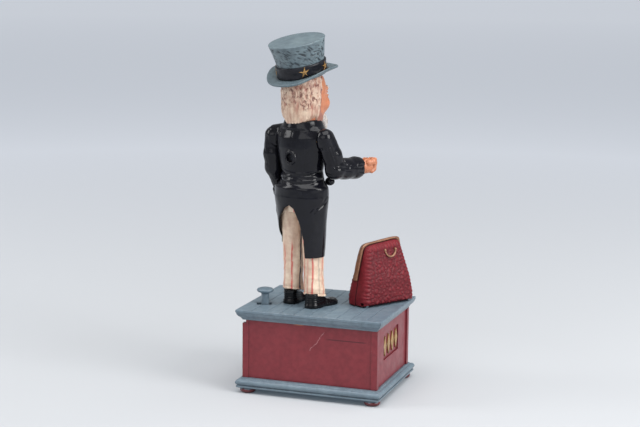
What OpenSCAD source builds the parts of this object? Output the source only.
// Mechanical coin bank: a gentleman in a top hat drops a coin from his hand into a
// travelling bag, which opens on the deck of a box that keeps the coins.
// Millimetres. +Z is up, -Y is the front of the box, and the origin is at the centre
// of the box's footprint, on the surface that the feet stand on.

/* [Case] */
// Width of the deck and of the base moulding
case_w = 121; // [120:0.5:123]
// Depth of the deck, front to back
deck_d = 101; // [100:0.5:102]
// Depth of the base moulding, front to back
base_d = 102.5; // [102:0.5:103.5]
// Clear height under the base plate
foot_h = 4.2; // [4:0.1:4.6]
// Height of the base moulding
base_h = 8; // [7.5:0.1:8.2]
// Thickness of the four side panels
wall = 3.2; // [2.8:0.1:3.4]
// Distance between the grooves of the deck's planks
plank_pitch = 11.8; // [11:0.1:12]

/* [Push button] */
// Radius of the button's head
knob_r = 6.8; // [6:0.1:7.2]
// Radius of the button's stem
stem_r = 3.2; // [2.8:0.1:3.4]

/* [Bag] */
// Length of the bag at the deck
bag_len = 52; // [50:0.5:53]
// Length of the bag at its mouth
bag_top_len = 36; // [35:0.5:38]
// Height of the bag above the deck
bag_h = 50; // [48:0.5:51]
// Thickness of each half of the bag at the deck
bag_t = 11; // [10.8:0.1:11.4]

/* [Figure] */
// Radius of the hat's brim
brim_r = 28.5; // [27:0.5:29]
// Height of the hat's crown
crown_h = 27; // [25:0.5:28]
// Distance from the middle of a hat star to its points
star_r = 3.8; // [3.4:0.1:4]

/* [Hidden] */
$fn = 48;
eps = 0.02;

// Case
base_z = foot_h + base_h;
panel_h = 47.6;
deck_z0 = base_z + panel_h;
deck_top = deck_z0 + 8.6;
plate_t = 3.2;
plate_z = deck_top - plate_t;
floor_z = foot_h + 3;
box_w = 112;
box_d = 90;
rim_in_x = box_w / 2 - wall;
rim_in_y = box_d / 2 - wall;
post = 4.7;
post_out = 0.4;
end_face_x = box_w / 2 - 0.8;
foot_xy = [52.3, 43.3];
foot_flat_r = 4.9;
boss_xy = [46, 35.5];
boss_r = 3.6;
hatch_c = [-28, 0];
hatch_r = 16;
hatch_pivot = [-3.5, 0];
hatch_t = 1.4;
hatch_z = foot_h - 0.3 - hatch_t;
plaque = [41, 21];
plaque_y = 3;
plaque_z = 41.5;

// Rocker: the lever under the deck. Its own frame has X towards the button
rocker_a = 19.8;
button_xy = [46.2, 21.3];
button_arm = 58;
pivot = [button_xy[0] - button_arm * cos(rocker_a), button_xy[1] - button_arm * sin(rocker_a)];
pivot_z = 52;
bar_t = 5.2;
pin_r = 2;
toe_arm = 24.5;
toe_r = 2.5;
toe_z = 4.35;
spring_arm = 34;
spring_r = 4.4;
wire_r = 0.65;
spring_z0 = floor_z + 1.2;
spring_z1 = pivot_z - 3.15;
rod_x = 17.74;
rod_pin_z = 1.24;

// Figure: its own frame has +X to its left and -Y the way it faces
fig = [16.7, 14.6];
fig_a = -18;
head_turn = -8;
shoulder = [5, 204];
rod_xy = [-10, 0.28];
crank_r = 4.777;
crank_a = 15;
finger_r = 5.35;
coin_slot_w = 2.4;
side_x = -22.9;
leg_x = 10;
leg_y = -1;
jaw_pivot = [-3, 226];
screw_z = 190;
hat_at = [0, 2, 255.4];
hat_tilt = -15;
// Stars on the hat band, in degrees each way from its front; the back of the band is plain
star_angles = [25, 75, 125];

// Bag: its own frame has X along the mouth and +Y outwards, away from the figure
bag_at = [-39.5, -18.8];
bag_a = 58;
hinge_y = 7.4;
hinge_z = deck_top + 2.6;
// The mouth climbs by twice this from its near corner to its far one
bag_rise = 1.3;
bag_wall = 2;
tail_x = 15;
tail_y = 0.6;
tail_z = hinge_z - 10.4;
tail_r = 1.3;
// Near end of the coin slot in the deck; its far end runs into the tail's slot
coin_slot_x0 = -13.2;

// ---------- places ----------

module rocker_place() { translate([pivot[0], pivot[1], 0]) rotate([0, 0, rocker_a]) children(); }
module figure_place() { translate([fig[0], fig[1], 0]) rotate([0, 0, fig_a]) children(); }
module head_place() { figure_place() rotate([0, 0, head_turn]) children(); }
module bag_place() { translate([bag_at[0], bag_at[1], 0]) rotate([0, 0, bag_a]) children(); }
module hat_place() { head_place() translate(hat_at) rotate([hat_tilt, 0, 0]) children(); }

// ---------- shared shapes ----------

// Points on an arc, angles in degrees
function arc(c, r, a0, a1, n = 8) =
  [for (i = [0:n]) [c[0] + r * cos(a0 + (a1 - a0) * i / n), c[1] + r * sin(a0 + (a1 - a0) * i / n)]];

function mirrored(side) = concat(side, [for (i = [len(side) - 1:-1:0]) [-side[i][0], side[i][1]]]);

// A slab whose moulded edge runs round all four sides, mitred at the corners
module moulded_slab(w, d, side) {
  intersection() {
    rotate([90, 0, 0]) linear_extrude(d + 20, center = true)
      polygon(mirrored([for (p = side) [w / 2 + p[0], p[1]]]));
    rotate([90, 0, 90]) linear_extrude(w + 20, center = true)
      polygon(mirrored([for (p = side) [d / 2 + p[0], p[1]]]));
  }
}

// A bar with round ends, from one point to another, in the XY plane
module link(p, q, r, h) { hull() for (c = [p, q]) translate(c) cylinder(r = r, h = h, $fn = 32); }

// Cylinder along X, Y, or between two points
module rod_along_x(x0, x1, r) { translate([x0, 0, 0]) rotate([0, 90, 0]) cylinder(r = r, h = x1 - x0); }
module rod_along_y(y0, y1, r) { translate([0, y0, 0]) rotate([-90, 0, 0]) cylinder(r = r, h = y1 - y0); }

// One thin elliptical slice of a loft: [z, half width, half depth, y centre, x centre]
module slice(s) {
  translate([s[4], s[3], s[0]]) scale([s[1], s[2], 1]) cylinder(r = 1, h = eps, $fn = 32);
}

// A loft through slices, grown by g
module loft(stations, g = 0) {
  for (i = [0:len(stations) - 2])
    hull() for (s = [stations[i], stations[i + 1]]) slice([s[0], s[1] + g, s[2] + g, s[3], s[4]]);
}

// A limb through balls: [x, y, z, radius], grown by g
module limb(balls, g = 0) {
  for (i = [0:len(balls) - 2])
    hull() for (b = [balls[i], balls[i + 1]]) translate([b[0], b[1], b[2]]) sphere(r = b[3] + g, $fn = 20);
}

module star(r, h) {
  linear_extrude(h)
    polygon([for (i = [0:9]) let (q = i % 2 == 0 ? r : r * 0.42) [q * sin(36 * i), q * cos(36 * i)]]);
}

module wood_screw(r, head_r, length) {
  difference() {
    union() {
      cylinder(r = head_r, h = 1.6);
      translate([0, 0, 1.6 - eps]) cylinder(r = r, h = length);
    }
    translate([-head_r, -0.4, -eps]) cube([2 * head_r, 0.8, 0.8]);
  }
}

// ---------- case ----------

base_edge = concat(
  [[-2.2, foot_h], [-0.7, foot_h + 0.7], [-0.7, foot_h + 2], [-1.5, foot_h + 2.3]],
  arc([-2.4, base_z - 3.3], 2.4, -60, 95),
  [[-3.4, base_z - 0.6], [-3.6, base_z]]
);

deck_edge = concat(
  [[-4.4, deck_z0], [-4.3, deck_z0 + 0.7]],
  arc([-5.6, deck_top - 1.8], 5.2, -60, -6),
  [[0, deck_top - 2], [0, deck_top - 0.4], [-0.4, deck_top]]
);

module base_plate() color("slategray") {
  difference() {
    moulded_slab(case_w, base_d, base_edge);
    translate([-rim_in_x, -rim_in_y, floor_z]) cube([2 * rim_in_x, 2 * rim_in_y, 20]);
    translate([hatch_c[0], hatch_c[1], 0]) cylinder(r = hatch_r, h = 30);
    for (x = [-1, 1], y = [-1, 1]) {
      translate([x * boss_xy[0], y * boss_xy[1], 0]) {
        cylinder(r = 1.8, h = 30);
        translate([0, 0, foot_h - 1]) cylinder(r = 3.4, h = 2.7);
      }
      translate([x * foot_xy[0], y * foot_xy[1], foot_h - 1]) cylinder(r = 2.5, h = 4);
    }
    for (x = [hatch_pivot[0], 2 * hatch_c[0] - hatch_pivot[0]])
      translate([x, hatch_c[1], 0]) cylinder(r = 1.5, h = 30);
  }
  rocker_place() translate([spring_arm, 0, floor_z - eps]) {
    difference() {
      cylinder(r = 7, h = 1.2 + eps);
      translate([0, 0, 1.2]) cylinder(r = 0.6, h = 1);
    }
    cylinder(r = 3, h = 14);
  }
}

// Turned foot with a spigot that presses into the base plate
module foot(x, y) color("firebrick") {
  translate([x * foot_xy[0], y * foot_xy[1], 0]) {
    rotate_extrude()
      polygon(concat([[0, 0], [foot_flat_r, 0]], arc([3.9, 2.4], 2.6, -60, 43), [[0, foot_h - 0.03]]));
    translate([0, 0, foot_h - 0.1]) cylinder(r = 2.48, h = 2.8);
  }
}

module long_panel_slab(side) {
  y0 = rim_in_y;
  translate([-box_w / 2 + post, y0, base_z]) cube([box_w - 2 * post, wall - 0.4, panel_h]);
  for (s = [-1, 1])
    translate([s * (box_w / 2 - post / 2 + post_out / 2), y0 + wall / 2 - 0.65, base_z + panel_h / 2])
      cube([post + post_out + eps, wall + 1.5, panel_h], center = true);
}

module back_panel() color("brown") {
  difference() {
    long_panel_slab();
    translate([box_w / 2 - 2.6, rim_in_y - 2, deck_z0 - 3]) cube([5, 8, 5]);
  }
}

module front_panel() color("brown") {
  mirror([0, 1, 0]) {
    difference() {
      long_panel_slab();
      translate([-42, rim_in_y + wall - 1.2, base_z + 7]) cube([84, 5, panel_h - 14]);
    }
    translate([-39, rim_in_y + wall - 1.3, base_z + 10]) cube([78, 1, panel_h - 20]);
  }
}

// End panel with a sunk plaque, centred at y
module end_panel(y) {
  difference() {
    translate([end_face_x - wall, -rim_in_y + 1.42, base_z]) cube([wall, 2 * rim_in_y - 2.84, panel_h]);
    translate([end_face_x - 1.2, y - plaque[0] / 2, plaque_z - plaque[1] / 2]) cube([5, plaque[0], plaque[1]]);
  }
}

module bag_end_panel() color("brown") mirror([1, 0, 0]) end_panel(plaque_y);
module button_end_panel() color("brown") end_panel(0);

// Four gilt lozenges in the plaque's sunk field
module end_ornament(y) {
  translate([end_face_x - 1.2, y, plaque_z]) rotate([90, 0, 90])
    for (i = [-1.5:1:1.5])
      translate([i * plaque[0] / 4, 0, 0]) linear_extrude(0.9)
        polygon([[0, -8.2], [3.9, 0], [0, 8.2], [-3.9, 0]]);
}

module bag_end_ornament() color("goldenrod") mirror([1, 0, 0]) end_ornament(plaque_y);
module button_end_ornament() color("goldenrod") end_ornament(0);

// Gilt rosette between two lozenges
module front_ornament() color("goldenrod")
  translate([0, -(rim_in_y + wall - 0.3), plaque_z - 5.5]) rotate([90, 0, 0]) {
    difference() {
      union() {
        cylinder(r = 4, h = 1.6);
        for (i = [0:7]) rotate([0, 0, 45 * i]) translate([6.4, 0, 0]) cylinder(r = 2.6, h = 1.1);
      }
      translate([0, 0, 1.2]) cylinder(r = 1.6, h = 1);
    }
    for (s = [-1, 1]) translate([s * 23, 0, 0]) linear_extrude(1.1) polygon([[0, -6], [10, 0], [0, 6], [-10, 0]]);
  }

module deck() color("slategray") {
  difference() {
    union() {
      difference() {
        moulded_slab(case_w, deck_d, deck_edge);
        translate([-rim_in_x, -rim_in_y, deck_z0 - 10]) cube([2 * rim_in_x, 2 * rim_in_y, plate_z - deck_z0 + 10]);
      }
      for (x = [-1, 1], y = [-1, 1])
        translate([x * boss_xy[0], y * boss_xy[1], floor_z]) cylinder(r = boss_r, h = plate_z - floor_z + 1);
      rocker_place() for (s = [-1, 1])
        translate([0, s * 4.9, 0]) rotate([90, 0, 0]) translate([0, 0, -1.5])
          linear_extrude(3) polygon(concat(
            [[6, plate_z + 1], [-6, plate_z + 1]], arc([0, pivot_z], 4.6, 180, 360, 12)));
      bag_place() for (s = [-1, 1])
        translate([s * (bag_len / 2 - 3.4) - 1.2, hinge_y - 2.2, deck_top - 0.5]) cube([2.4, 4.4, 5]);
    }
    for (i = [-4:4]) translate([i * plank_pitch - 0.5, 0, deck_top]) rotate([90, 45, 0])
      cube([0.8, 0.8, deck_d + 4], center = true);
    for (x = [-1, 1], y = [-1, 1]) translate([x * boss_xy[0], y * boss_xy[1], 0]) cylinder(r = 1.2, h = floor_z + 16);
    rocker_place() translate([0, 0, pivot_z]) rod_along_y(-8, 8, pin_r);
    rocker_place() translate([button_arm - 5.1, -3.9, plate_z - 1]) cube([12, 7.8, 10]);
    figure_place() {
      translate([rod_xy[0], rod_xy[1], plate_z - 1]) cylinder(r = 2.3, h = 10);
      for (p = figure_screw_xy) translate([p[0], p[1], plate_z - 1]) cylinder(r = 1.7, h = 10);
    }
    bag_place() {
      translate([coin_slot_x0, -3.2, plate_z - 1]) cube([tail_x - coin_slot_x0, 6.4, 10]);
      translate([tail_x - 2.4, -1, plate_z - 1]) cube([4.8, 6.4, 10]);
      for (x = bag_screw_x) translate([x, bag_screw_y, plate_z - 1]) cylinder(r = 1.7, h = 10);
      translate([0, hinge_y, hinge_z]) rod_along_x(-40, 40, 1.2);
    }
  }
}

module case_screws() color("gray")
  for (x = [-1, 1], y = [-1, 1])
    translate([x * boss_xy[0], y * boss_xy[1], foot_h + 0.1]) wood_screw(1.2, 3, 15);

module coin_hatch() color("gray")
  translate([0, 0, hatch_z]) difference() {
    union() {
      translate([hatch_c[0], hatch_c[1], 0]) cylinder(r = hatch_r + 2.6, h = hatch_t);
      translate([hatch_pivot[0] - 8, -5, 0]) cube([8, 10, hatch_t]);
      translate([hatch_pivot[0], 0, 0]) cylinder(r = 5, h = hatch_t);
      translate([2 * hatch_c[0] - hatch_pivot[0] - 4.4, -5, 0]) cube([13, 10, hatch_t]);
    }
    translate([hatch_pivot[0], 0, -1]) cylinder(r = 1.65, h = 5);
    translate([2 * hatch_c[0] - hatch_pivot[0], 0, -1]) cylinder(r = 1.8, h = 5);
    translate([2 * hatch_c[0] - hatch_pivot[0] - 1.8, 0, -1]) cube([3.6, 8, 5]);
  }

module hatch_screws() color("gray")
  for (x = [hatch_pivot[0], 2 * hatch_c[0] - hatch_pivot[0]])
    translate([x, 0, hatch_z - 1.75]) wood_screw(1.5, 3.2, 7);

// ---------- rocker ----------

module rocker_lever() color("dimgray")
  rocker_place() translate([0, 0, pivot_z]) rotate([90, 0, 0]) difference() {
    union() {
      translate([0, 0, -bar_t / 2]) linear_extrude(bar_t)
        polygon([[-toe_arm - toe_r, toe_z], [-toe_arm + toe_r, toe_z], [-toe_arm + 4.5, 1.8], [0, 3.4],
                 [button_arm + 3.6, 3], [button_arm + 3.6, -2.2], [button_arm, -3.1], [spring_arm, -3.1],
                 [0, -3.6], [-toe_arm, -2.2], [-toe_arm - toe_r, -0.4]]);
      translate([-toe_arm, toe_z, -bar_t / 2]) cylinder(r = toe_r, h = bar_t);
      translate([0, 0, -bar_t / 2 - 0.2]) cylinder(r = 4.2, h = bar_t + 0.4);
    }
    translate([0, 0, -10]) cylinder(r = pin_r + 0.05, h = 20);
    translate([rod_x, rod_pin_z, -10]) cylinder(r = 0.9, h = 20);
    translate([button_arm, 0, -10]) cylinder(r = 1.2, h = 20);
    translate([button_arm - 2.2, -2.2, -1.4]) cube([4.4, 20, 2.8]);
  }

module rocker_pin() color("silver")
  rocker_place() translate([0, 0, pivot_z]) {
    rod_along_y(-6.6, 6.6, pin_r);
    rod_along_y(6.4, 7.4, 3);
  }

// Mushroom-headed button with a flat tang that fits the lever's slot
module press_button() color("slategray")
  rocker_place() translate([button_arm, 0, 0]) {
    translate([0, 0, pivot_z + 3.2]) rotate_extrude() polygon(concat(
      [[0, 0], [stem_r, 0], [stem_r, 21.4]],
      arc([stem_r + 1.5, 21.4], 1.5, 180, 90, 4),
      [[knob_r - 1, 23.2]],
      arc([knob_r - 1.4, 24.6], 1.4, -40, 80, 6),
      [[3, 26.7], [0, 26.9]]));
    difference() {
      translate([-2, -1.3, pivot_z - 2]) cube([4, 2.6, 5.4]);
      translate([0, 0, pivot_z]) rod_along_y(-5, 5, 1.2);
    }
  }

module button_rivet() color("silver")
  rocker_place() translate([button_arm, 0, pivot_z]) rod_along_y(-bar_t / 2 - 0.3, bar_t / 2 + 0.3, 1.2);

module rod_drive_pin() color("silver")
  rocker_place() translate([rod_x, 0, pivot_z + rod_pin_z]) {
    rod_along_y(-bar_t / 2, 8.4, 0.9);
    rod_along_y(8.3, 9, 1.6);
  }

// Compression spring: one closed tube swept along a helix
spring_turns = 8.5;
spring_steps = 12 * spring_turns;
spring_sides = 6;
function spring_angle(i) = 360 * spring_turns * i / spring_steps;
function spring_point(i, j) =
  let (a = spring_angle(i), b = 360 * j / spring_sides,
       z = spring_z0 + wire_r + (spring_z1 - spring_z0 - 2 * wire_r) * i / spring_steps)
  [(spring_r + wire_r * cos(b)) * cos(a), (spring_r + wire_r * cos(b)) * sin(a), z + wire_r * sin(b)];

module return_spring() color("silver")
  rocker_place() translate([spring_arm, 0, 0]) {
    n = spring_sides;
    last = spring_steps * n;
    polyhedron(
      points = [for (i = [0:spring_steps], j = [0:n - 1]) spring_point(i, j)],
      faces = concat(
        [[for (j = [0:n - 1]) j]],
        [[for (j = [n - 1:-1:0]) last + j]],
        [for (i = [0:spring_steps - 1], j = [0:n - 1])
          [i * n + j, (i + 1) * n + j, (i + 1) * n + (j + 1) % n, i * n + (j + 1) % n]]),
      convexity = 10);
  }

// ---------- arm drive ----------

pin_top_z = shoulder[1] + crank_r * sin(crank_a);
pin_bottom_z = pivot_z + rod_pin_z;

module arm_rod() color("silver") {
  figure_place() {
    translate([rod_xy[0], rod_xy[1], pin_bottom_z + 2.2]) cylinder(r = 1, h = pin_top_z - pin_bottom_z - 4.4);
    translate([rod_xy[0], rod_xy[1], pin_top_z]) difference() {
      rod_along_x(-0.9, 0.9, 2.6);
      rod_along_x(-2, 2, 1.3);
    }
  }
  rocker_place() translate([rod_x, 6.77, pin_bottom_z]) difference() {
    rod_along_y(-0.9, 0.9, 2.6);
    rod_along_y(-2, 2, 1.3);
  }
}

module shoulder_bush() color("goldenrod")
  figure_place() translate([0, shoulder[0], shoulder[1]]) difference() {
    union() {
      rod_along_x(side_x, side_x + 4, 3.4);
      rod_along_x(side_x + 2.9, side_x + 4, 4.6);
    }
    rod_along_x(-40, 0, pin_r + 0.05);
  }

module arm_shaft() color("silver")
  figure_place() translate([0, shoulder[0], shoulder[1]]) rod_along_x(-29.5, -4.4, pin_r);

module arm_crank() color("dimgray")
  figure_place() translate([-7.5, shoulder[0], shoulder[1]]) rotate([90, 0, 90]) difference() {
    union() {
      cylinder(r = 3, h = 2.5);
      link([0, 0], [-crank_r * cos(crank_a), crank_r * sin(crank_a)], 1.7, 2.5);
      link([0, 0], [finger_r * sin(crank_a), finger_r * cos(crank_a)], 1.2, 2.5);
    }
    translate([0, 0, -1]) cylinder(r = pin_r, h = 5);
    translate([-crank_r * cos(crank_a), crank_r * sin(crank_a), -1]) cylinder(r = 0.9, h = 5);
  }

module crank_pin() color("silver")
  figure_place() translate([0, shoulder[0] - crank_r * cos(crank_a), pin_top_z]) {
    rod_along_x(-11.5, -5, 0.9);
    rod_along_x(-12, -11.4, 1.5);
  }

arm_balls = [
  [-25.4, 6, 206.6, 7.4], [-27, -1.4, 192, 7.8], [-27.5, -4, 181.4, 7.8],
  [-28.8, -16, 180.3, 8.1], [-30.5, -27.5, 180.2, 8.5], [-31.2, -34, 180.4, 6.8]
];

// The end of the right sleeve, +Z out of the cuff
module right_wrist_place() translate([-31.1, -32, 180.5]) rotate([90, 0, -5]) children();

module right_arm() color("#15171c")
  figure_place() difference() {
    union() {
      limb(arm_balls);
      translate([0, shoulder[0], shoulder[1]]) rod_along_x(side_x - 4, side_x - 0.4, 8);
    }
    translate([side_x - 0.4, -80, 100]) cube([60, 160, 160]);
    translate([0, shoulder[0], shoulder[1]]) rod_along_x(-29.5, 0, pin_r);
    right_wrist_place() {
      cylinder(r = 9, h = 20);
      translate([0, 0, -6]) cylinder(r = 3, h = 8);
    }
  }

// A loose fist, with a slot in its top that a coin stands in
module right_hand() color("sandybrown")
  figure_place() difference() {
    union() {
      right_wrist_place() {
        translate([0, 0, -5.5]) cylinder(r = 2.95, h = 7);
        translate([0, 0, 0.1]) cylinder(r = 4.6, h = 4);
      }
      hull() {
        translate([-32.2, -38, 180.6]) sphere(r = 5.4, $fn = 20);
        translate([-33, -43.4, 182]) sphere(r = 5.5, $fn = 20);
        translate([-32.6, -43, 178.8]) sphere(r = 4.9, $fn = 20);
      }
    }
    translate([-32.4, -42, 187.4]) rotate([0, 0, -5]) cube([coin_slot_w, 20, 8], center = true);
  }

// ---------- figure ----------

coat = [
  [150, 22.5, 16.6, 1.4, 0.6], [158, 23.8, 17.4, 1.6, 0.6], [166, 23.4, 17.2, 1.6, 0.6], [169, 19.6, 15.4, 1.4, 0],
  [178, 17.6, 14.6, 1.2, 0], [187, 19.8, 15.6, 1.6, 0], [197, 22.6, 16.2, 1.4, 0], [206, 23.6, 15.6, 1.4, 0],
  [212, 21, 13.6, 1.4, 0], [216, 15.5, 12.8, 1, 0], [220, 13.2, 12.6, 0.6, 0]
];
coat_inside = [
  [156, 19.5, 14.2, 0, 0], [165, 19.6, 14.2, 0, 0], [177, 15.2, 12, 0, 0], [196, 20, 13.4, 0, 0],
  [205, 20.6, 13, 0, 0], [209, 16, 11.2, 0, 0], [214, 10.4, 10.2, 0, 0]
];
skirt = [
  [110, 17.4, 15.2, 1.6, -1.4], [122, 18.8, 16, 1.6, -1.2], [140, 21.6, 16.8, 1.6, -0.4], [158, 23.8, 17.4, 1.6, 0.6]
];
skirt_inside = [
  [100, 14.6, 12.2, 1.4, -1.4], [120, 16, 13.2, 1.6, -1.2], [140, 18.8, 14, 1.6, -0.4], [159, 21, 14.6, 1.6, 0.6]
];
head = [
  [212, 10.6, 11.6, 0.6, 0], [217, 13.4, 14.6, 0.2, 0], [225, 15.4, 18, -0.6, 0],
  [235, 16.4, 19.4, -0.8, 0], [245, 16.4, 19, -0.4, 0], [252, 15.2, 17.6, 0.6, 0],
  [258, 11.6, 13.4, 1.6, 0], [261, 6, 7, 2, 0]
];
head_inside = [
  [206, 10, 9.6, 0, 0], [217, 10.6, 11.4, 0, 0], [225, 12.4, 15, -0.6, 0], [245, 13.4, 15.6, -0.4, 0],
  [252, 11, 13, 0.6, 0]
];

module leg(s, g = 0) {
  loft([
    [76.2, 8.8, 9.6, -2, s * (leg_x + 0.6)], [82, 8, 8.4, -1.4, s * (leg_x + 0.4)], [95, 7.8, 8, leg_y, s * leg_x],
    [120, 8.4, 8.8, -0.6, s * leg_x], [140, 9.6, 10.6, 0, s * leg_x], [152, 10.4, 12.6, 0, s * leg_x]
  ], g);
}

module tails() {
  difference() {
    intersection() {
      loft(skirt);
      rotate([90, 0, 90]) linear_extrude(80, center = true)
        polygon([[-17, 160], [-2, 140], [2, 105], [30, 105], [30, 160]]);
    }
    loft(skirt_inside);
    rotate([90, 0, 180]) linear_extrude(40)
      polygon([[0, 152], [4, 149], [8.5, 139], [11.6, 124], [12.4, 100], [-19, 100], [-17, 126], [-12, 141], [-5, 150]]);
  }
}

module figure_outside() {
  intersection() {
    loft(coat);
    translate([side_x, -50, 100]) cube([80, 100, 140]);
  }
  tails();
  leg(-1);
  leg(1);
  rotate([0, 0, head_turn]) loft(head);
}

module figure_hollow() {
  intersection() {
    loft(coat_inside);
    translate([side_x + 2.9, -50, 100]) cube([80, 100, 140]);
  }
  rotate([0, 0, head_turn]) loft(head_inside);
  for (s = [-1, 1]) translate([s * leg_x, leg_y, 70]) cylinder(r = 5.6, h = 90, $fn = 32);
}

// The slot in the face that the jaw swings in
module jaw_slot() {
  rotate([0, 0, head_turn]) translate([-8.2, -40, 208.5]) cube([16.4, 31, 21]);
}

module figure_shell() {
  difference() {
    figure_outside();
    figure_hollow();
    jaw_slot();
    translate([0, shoulder[0], shoulder[1]]) {
      rod_along_x(-40, -10, 3.42);
      rod_along_x(side_x + 2.88, -10, 4.8);
    }
    rotate([0, 0, head_turn]) translate([0, jaw_pivot[0], jaw_pivot[1]]) rod_along_x(-14.2, 14.2, 1.3);
    for (s = [-1, 1]) shoe_outside(s, 0.15);
  }
}

module figure_front_half() color("#15171c")
  figure_place() {
    intersection() {
      figure_shell();
      translate([-50, -100.06, 60]) cube([100, 100, 220]);
    }
    translate([0, 0, screw_z]) difference() {
      rod_along_y(-13.4, -0.2, 3.4);
      rod_along_y(-12, 1, 1.3);
    }
  }

module figure_back_half() color("#15171c")
  figure_place() difference() {
    union() {
      intersection() {
        figure_shell();
        translate([-50, 0.06, 60]) cube([100, 100, 220]);
      }
      translate([0, 0, screw_z]) rod_along_y(0.2, 17.6, 4.6);
    }
    translate([0, 0, screw_z]) {
      rod_along_y(-1, 30, 1.7);
      rod_along_y(13.8, 30, 3.4);
    }
  }

module back_screw() color("#2a2c30")
  figure_place() translate([0, 15.4, screw_z]) rotate([90, 0, 0]) wood_screw(1.3, 3.2, 23);

// One shoe, s is -1 for the right and 1 for the left, grown by g
module shoe_outside(s, g = 0) {
  heel = s < 0 ? 2.5 : -0.5;
  toe = s < 0 ? -19 : -22;
  translate([s * 12, 0, deck_top]) {
    hull() {
      translate([0, heel, 0]) cylinder(r = 6.2 + g, h = 3.4 + g, $fn = 32);
      translate([s * 1.5, toe, 0]) cylinder(r = 6.6 + g, h = 3 + g, $fn = 32);
    }
    hull() {
      translate([0, heel, 3]) cylinder(r = 5.9 + g, h = 6 + g, $fn = 32);
      translate([s * 0.4, heel - 8, 3]) cylinder(r = 5.6 + g, h = 5.4 + g, $fn = 32);
    }
    hull() {
      translate([s * 0.4, heel - 8, 3]) cylinder(r = 5.6 + g, h = 5 + g, $fn = 32);
      translate([s * 1.5, toe, 3]) cylinder(r = 5.6 + g, h = 1.8 + g, $fn = 32);
    }
  }
}

figure_screw_xy = [[-12.8, -15.5], [12.4, -10]];
bag_screw_x = [-12, 15];
bag_screw_y = -7.6;

module shoe(s) {
  figure_place() difference() {
    shoe_outside(s);
    for (p = figure_screw_xy) translate([p[0], p[1], deck_top - 1]) cylinder(r = 1.2, h = 5);
    if (s < 0) translate([rod_xy[0], rod_xy[1], deck_top - 1]) cylinder(r = 2.2, h = 20);
  }
}

module right_shoe() color("#101114") shoe(-1);
module left_shoe() color("#101114") shoe(1);

module figure_screws() color("gray")
  figure_place() for (p = figure_screw_xy)
    translate([p[0], p[1], plate_z - 1.7]) wood_screw(1.2, 3, 6);

// The end of the left sleeve, +Z down towards the hand
module wrist_place() translate([26.7, -6.4, 157.4]) rotate([155, 0, 0]) children();

module left_arm() color("#15171c")
  figure_place() difference() {
    limb([[25.6, 6, 205.6, 7.2], [26.6, 5.6, 190, 7.4], [26.8, 3.6, 179, 7.2], [26, -3.6, 163, 5.8]]);
    loft(coat, 0.15);
    wrist_place() translate([0, 0, -9]) cylinder(r = 3, h = 12);
    wrist_place() cylinder(r = 12, h = 12);
  }

module left_hand() color("sandybrown")
  figure_place() difference() {
    union() {
      wrist_place() translate([0, 0, -6]) cylinder(r = 2.95, h = 7);
      wrist_place() translate([0, 0, 0.1]) cylinder(r = 4.6, h = 7.4);
    }
    umbrella_axis() translate([0, 0, -60]) cylinder(r = 1.6, h = 80);
  }

module umbrella_axis() translate([26.6, -10.4, 151]) rotate([3, -1, 0]) children();

module umbrella() color("#5f716c")
  figure_place() difference() {
    umbrella_axis() translate([0, 0, -35]) rotate_extrude() polygon([
      [0, 0], [0.9, 0], [1.1, 4], [1.9, 5], [4.2, 23], [3.8, 25], [1.5, 27], [1.5, 28], [0, 28]]);
    leg(1, 0.2);
    loft(coat, 0.2);
    loft(skirt, 0.2);
  }

module umbrella_handle() color("#6b4a2a")
  figure_place() umbrella_axis() {
    translate([0, 0, -7]) cylinder(r = 1.5, h = 18);
    translate([0, -3.4, 10.9]) rotate([90, 0, 90]) rotate_extrude(angle = 180)
      translate([3.4, 0]) circle(r = 1.4);
  }

// ---------- head ----------

// Beard and lower jaw, with the arms that carry it and the tail that the crank pushes
module jaw() color("#d9d2c4")
  head_place() difference() {
    union() {
      hull() {
        translate([-7.4, -18.6, 225.4]) cube([14.8, 8.6, 0.6]);
        translate([-6.6, -19.8, 219]) cube([13.2, 9, 1]);
        translate([-2.6, -24, 211.5]) cube([5.2, 4, 1]);
        translate([-4, -15, 213]) cube([8, 4, 1]);
      }
      for (s = [-1, 1]) hull() {
        translate([s * 6.25 - 1.05, -12, 221]) cube([2.1, 2, 4]);
        translate([s * 6.25, jaw_pivot[0], jaw_pivot[1]]) rod_along_x(-1.05, 1.05, 2.4);
      }
      hull() {
        translate([-6.25, jaw_pivot[0], jaw_pivot[1]]) rod_along_x(-1.05, 1.05, 1.6);
        translate([-6.25 - 1.05, 1.9, 207.6]) cube([2.1, 1.7, 3.4]);
      }
    }
    translate([0, jaw_pivot[0], jaw_pivot[1]]) rod_along_x(-20, 20, 1.25);
  }

module jaw_pin() color("silver")
  head_place() translate([0, jaw_pivot[0], jaw_pivot[1]]) rod_along_x(-13.9, 13.9, 1.2);

// Metal of the crown, with the hollow that sits over the head
crown_wall = 2;
crown_side = [[18.9, 0], [18.7, 4], [18.9, 9], [19.7, 14], [20.9, 20], [22.4, crown_h - 0.8], [22.5, crown_h]];

// Brim, curled up at both sides
module brim() {
  intersection() {
    rotate([90, 0, 0]) linear_extrude(80, center = true) polygon(concat(
      [for (x = [-30:2:30]) [x, -1.6 + 5 * pow(abs(x) / 28, 3)]],
      [for (x = [30:-2:-30]) [x, 5 * pow(abs(x) / 28, 3)]]));
    translate([0, 0, -10]) cylinder(r = brim_r, h = 30);
  }
}

module hat() color("slategray")
  difference() {
    hat_place() {
      rotate_extrude() polygon(concat(
        [[0, -1.2], [18.9, -1.2]], crown_side, [[21.6, crown_h + 0.4], [0, crown_h + 1.2]],
        [[0, crown_h - crown_wall], [19, crown_h - crown_wall], [18.9 - crown_wall, 14], [18.9 - crown_wall, 4], [0, 4]]));
      brim();
    }
    head_place() loft(head, 0.2);
  }

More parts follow.
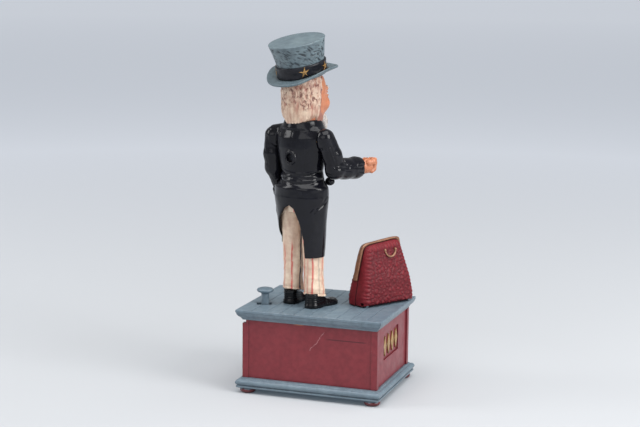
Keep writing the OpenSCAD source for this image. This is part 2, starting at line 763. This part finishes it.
module hat_band() color("#14151c")
  hat_place() difference() {
    rotate_extrude() polygon([[18.9, 0.02], [19.9, 0.02], [19.75, 4], [19.9, 9], [19.6, 9.4], [18.99, 9.4], [18.9, 9], [18.7, 4]]);
    brim();
  }

module hat_stars() color("goldenrod")
  hat_place() for (side = [-1, 1], a = star_angles)
    rotate([0, 0, 180 + side * a]) translate([0, 19.96, 5.7]) rotate([-90, 0, 0]) star(star_r, 0.8);

// ---------- bag ----------

// Half of the bag's outer form in the bag's frame, grown by g. s is 1 for the outer half
module bag_half_form(s, g = 0, z0 = 0) {
  hull() {
    for (x = [-1, 1]) {
      translate([x * (bag_len / 2 - 4), s * (bag_t - 5), deck_top + z0 + 4]) sphere(r = 5 - 1 + g, $fn = 20);
      translate([x * (bag_len / 2 - 3), s * 2, deck_top + z0]) cylinder(r = 3 + g, h = 4, $fn = 20);
      translate([x * (bag_top_len / 2 - 3), s * 0.6, deck_top + bag_h - 3 - bag_rise * x]) sphere(r = 3 + g, $fn = 20);
      translate([x * (bag_len / 2 - 6), s * (bag_t - 6), deck_top + 20]) sphere(r = 4 + g, $fn = 20);
    }
  }
}

module bag_half(s, gap, z0 = 0) {
  difference() {
    intersection() {
      bag_half_form(s, 0, z0);
      translate([-40, s > 0 ? gap : -30 - gap, deck_top - 5]) cube([80, 30, 80]);
    }
    for (y = [0, -3 * s]) translate([0, y, 0]) bag_half_form(s, -bag_wall, z0);
    translate([coin_slot_x0 - 0.6, s > 0 ? 0 : -4.5, deck_top - 1]) cube([tail_x - 1 - coin_slot_x0, 4.5, 8]);
  }
}

module bag_inner_half() color("#7a1f28")
  bag_place() difference() {
    union() {
      bag_half(-1, 0.2);
      for (x = bag_screw_x) translate([x, bag_screw_y, deck_top]) cylinder(r = 2.6, h = 9);
    }
    for (x = bag_screw_x) translate([x, bag_screw_y, deck_top - 1]) cylinder(r = 1.2, h = 8);
    translate([tail_x - 2.6, -1.4, deck_top - 1]) cube([5.2, 3, 10]);
  }

module bag_outer_half() color("#7a1f28")
  bag_place() difference() {
    union() {
      difference() {
        bag_half(1, 0.2, 0.8);
        translate([-40, hinge_y, deck_top - 1]) rotate([20, 0, 0]) translate([0, 0, -8]) cube([80, 20, 9]);
      }
      intersection() {
        bag_half_form(1, 0, 0.8);
        translate([-bag_len / 2 + 5.4, hinge_y - 2.8, hinge_z - 1.7]) cube([bag_len - 10.8, 5, 3.8]);
      }
      translate([tail_x - 1.8, hinge_y - 5.4, tail_z - 0.2]) cube([3.6, 2.6, 12]);
      translate([tail_x - 1.8, tail_y, tail_z - 0.2]) cube([3.6, hinge_y - 2.8 - tail_y, tail_r + 0.2]);
      translate([0, tail_y, tail_z]) rod_along_x(tail_x - 1.8, tail_x + 1.8, tail_r);
    }
    translate([0, hinge_y, hinge_z]) rod_along_x(-40, 40, 1.3);
    for (s = [-1, 1]) translate([s * (bag_len / 2 - 3.4) - 1.6, hinge_y - 3.2, deck_top - 1]) cube([3.2, 6.4, 6.8]);
  }

module bag_hinge_pin() color("silver")
  bag_place() translate([0, hinge_y, hinge_z]) rod_along_x(-bag_len / 2 + 2.2, bag_len / 2 - 2.2, 1.2);

// Metal frame round the mouth, on the inner half
module bag_frame() color("#8a6440")
  bag_place() difference() {
    intersection() {
      bag_half_form(-1, 1.2);
      translate([-40, -3.6, deck_top + 21]) cube([80, 3.35, 40]);
    }
    bag_half_form(-1, 0.1);
  }

// Fixed half ring on the outer half's face
module bag_handle() color("#8a6440")
  bag_place() translate([-4.5, 4.8, deck_top + bag_h - 6]) rotate([76, 0, 0]) rotate([0, 0, 180])
    rotate_extrude(angle = 180) translate([6, 0]) circle(r = 0.9);

module bag_screws() color("gray")
  bag_place() for (x = bag_screw_x)
    translate([x, bag_screw_y, plate_z - 1.7]) wood_screw(1.2, 3, 9);

// ---------- show ----------

base_plate();
foot(-1, -1);  // foot_front_left
foot(1, -1);  // foot_front_right
foot(-1, 1);  // foot_back_left
foot(1, 1);  // foot_back_right
front_panel();
back_panel();
bag_end_panel();
button_end_panel();
bag_end_ornament();
button_end_ornament();
front_ornament();
deck();
case_screws();
coin_hatch();
hatch_screws();
rocker_lever();
rocker_pin();
press_button();
button_rivet();
rod_drive_pin();
return_spring();
arm_rod();
shoulder_bush();
arm_shaft();
arm_crank();
crank_pin();
right_arm();
right_hand();
left_arm();
left_hand();
umbrella();
umbrella_handle();
figure_front_half();
figure_back_half();
back_screw();
right_shoe();
left_shoe();
figure_screws();
jaw();
jaw_pin();
hat();
hat_band();
hat_stars();
bag_inner_half();
bag_frame();
bag_outer_half();
bag_handle();
bag_hinge_pin();
bag_screws();
